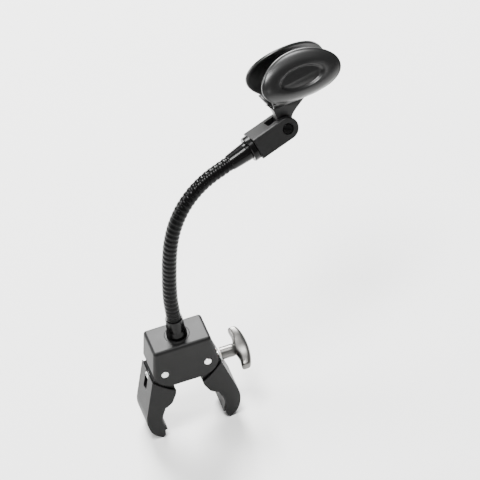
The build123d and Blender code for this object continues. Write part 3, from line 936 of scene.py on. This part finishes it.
def curve(*points):
    """14 points on a Bezier curve: each control point times its Bernstein share of t."""
    t = np.linspace(0, 1, 14)[:, None]
    points = [np.array([point]) for point in points]
    while len(points) > 1:
        points = [(1 - t) * a + t * b for a, b in zip(points[:-1], points[1:])]
    return points[0]


def tongue(clip, half_thickness, edge):
    """Web from the pin to the channel's floor: an eye that flares into the floor.

    The outline is offset inwards by edge * (1 - sin) as the depth goes round a quarter
    circle at each face.
    """
    eye = 7.1 * MM
    bottom = pi + np.linspace(0, pi, 33)[:, None]
    # Round the eye, up the front edge, along inside the floor and down the back edge, in
    # (forward, up) from the pin. The control points are in millimetres.
    outline = np.concatenate(
        [
            eye * np.concatenate([np.cos(bottom), np.sin(bottom)], axis=1),
            MM * curve((7.1, 1.5), (7.2, 9.0), (12.0, 10.2), (20.0, 15.6), (27.0, 20.6)),
            MM * curve((20.0, 20.8), (0.0, 20.8)),
            MM * curve((-8.4, 21.4), (-4.2, 15.5), (-3.6, 11.0), (-7.1, 1.5)),
        ]
    )
    ahead = np.roll(outline, -1, axis=0) - np.roll(outline, 1, axis=0)
    inward = np.stack([-ahead[:, 1], ahead[:, 0]], axis=1)
    inward /= np.linalg.norm(inward, axis=1)[:, None]
    round_off = np.linspace(0, pi / 2, 5)
    inwards = edge * (1 - np.cos(round_off))
    depth = np.concatenate([inwards - half_thickness, half_thickness - inwards[::-1]])
    inset = edge * (1 - np.sin(np.concatenate([round_off, round_off[::-1]])))
    points = outline[None] + inset[:, None, None] * inward[None]
    return clip.world(points[..., 0], depth[:, None], points[..., 1])


class HOLDER_OT_clip(bpy.types.Operator):
    """C-shaped clip: two oval wings, the floor between them and the tongue below"""

    bl_idname = "holder.clip"
    bl_label = "Clip"

    def execute(self, context):
        sizes = context.scene.holder_sizes
        clip = ClipFrame()
        shells = [(wing(clip, sizes, side), "poles") for side in (-1, 1)]
        shells.append((saddle(clip, sizes), "caps"))
        shells.append((tongue(clip, half_thickness=4.5 * MM, edge=0.6 * MM), "caps"))
        piece = solid("clip_moulding", shells, stuff("plastic"))
        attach(piece, "clip")
        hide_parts("clip")
        return {"FINISHED"}


class HOLDER_OT_stage(bpy.types.Operator):
    """Plain floor, soft lights and the camera"""

    bl_idname = "holder.stage"
    bl_label = "Stage"

    def execute(self, context):
        stage = context.scene.holder_stage
        floor_level = CAD_BOX[0][2]
        corners = [
            (FLOOR_REACH * side, FLOOR_REACH * depth, floor_level)
            for side, depth in ((-1, -1), (1, -1), (1, 1), (-1, 1))
        ]
        mesh = bpy.data.meshes.new("floor")
        mesh.from_pydata(corners, [], [(0, 1, 2, 3)])
        mesh.materials.append(stuff("floor"))
        floor = bpy.data.objects.new("floor", mesh)
        context.scene.collection.objects.link(floor)
        for name, watts, size, place in LAMPS:
            lamp = bpy.data.lights.new(name, "AREA")
            lamp.energy = watts
            lamp.size = size
            holder = bpy.data.objects.new(name, lamp)
            aim = Vector(stage.aim) - Vector(place)
            holder.location = place
            holder.rotation_euler = aim.to_track_quat("-Z", "Y").to_euler()
            context.scene.collection.objects.link(holder)
        world = bpy.data.worlds.new("studio")
        world.use_nodes = True
        background = world.node_tree.nodes["Background"]
        background.inputs["Color"].default_value = (1, 1, 1, 1)
        background.inputs["Strength"].default_value = WORLD_STRENGTH
        context.scene.world = world
        toward = Vector(
            (
                -sin(stage.azimuth) * cos(stage.elevation),
                -cos(stage.azimuth) * cos(stage.elevation),
                sin(stage.elevation),
            )
        )
        level = Vector((0, 0, 1)).cross(toward).normalized()
        above = toward.cross(level)
        right = cos(stage.roll) * level + sin(stage.roll) * above
        up = cos(stage.roll) * above - sin(stage.roll) * level
        view = bpy.data.cameras.new("camera")
        view.lens = view.sensor_width * stage.distance / stage.field
        camera = bpy.data.objects.new("camera", view)
        camera.matrix_world = Matrix.Translation(
            Vector(stage.aim) + toward * stage.distance
        ) @ Matrix((right, up, toward)).transposed().to_4x4()
        context.scene.collection.objects.link(camera)
        context.scene.camera = camera
        return {"FINISHED"}


STEPS = (
    HOLDER_OT_castings,
    HOLDER_OT_hardware,
    HOLDER_OT_pads,
    HOLDER_OT_screw,
    HOLDER_OT_knob,
    HOLDER_OT_ferrules,
    HOLDER_OT_neck,
    HOLDER_OT_fork,
    HOLDER_OT_clip,
    HOLDER_OT_stage,
)


class HOLDER_PT_sidebar(bpy.types.Panel):
    """Buttons for each group of pieces, with the sizes and colours above them"""

    bl_idname = "HOLDER_PT_sidebar"
    bl_label = "Airbrush holder"
    bl_space_type = "VIEW_3D"
    bl_region_type = "UI"
    bl_category = "Holder"

    def draw(self, context):
        for group in (
            context.scene.holder_sizes,
            context.scene.holder_colours,
            context.scene.holder_stage,
        ):
            box = self.layout.box()
            for name in group.__annotations__:
                box.prop(group, name)
        for step in STEPS:
            self.layout.operator(step.bl_idname)


GROUPS = (HolderSizes, HolderColours, HolderStage)


def register():
    """Adds the classes, and the groups of sizes, colours and stage to the scene."""
    for kind in GROUPS + STEPS + (HOLDER_PT_sidebar,):
        bpy.utils.register_class(kind)
    bpy.types.Scene.holder_sizes = bpy.props.PointerProperty(type=HolderSizes)
    bpy.types.Scene.holder_colours = bpy.props.PointerProperty(type=HolderColours)
    bpy.types.Scene.holder_stage = bpy.props.PointerProperty(type=HolderStage)


def unregister():
    """Takes the groups and the classes away again, in the other order."""
    del bpy.types.Scene.holder_stage
    del bpy.types.Scene.holder_colours
    del bpy.types.Scene.holder_sizes
    for kind in reversed(GROUPS + STEPS + (HOLDER_PT_sidebar,)):
        bpy.utils.unregister_class(kind)


def main():
    """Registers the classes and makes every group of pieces."""
    register()
    for step in STEPS:
        getattr(bpy.ops.holder, step.bl_idname.split(".")[1])()


if __name__ == "__main__":
    main()
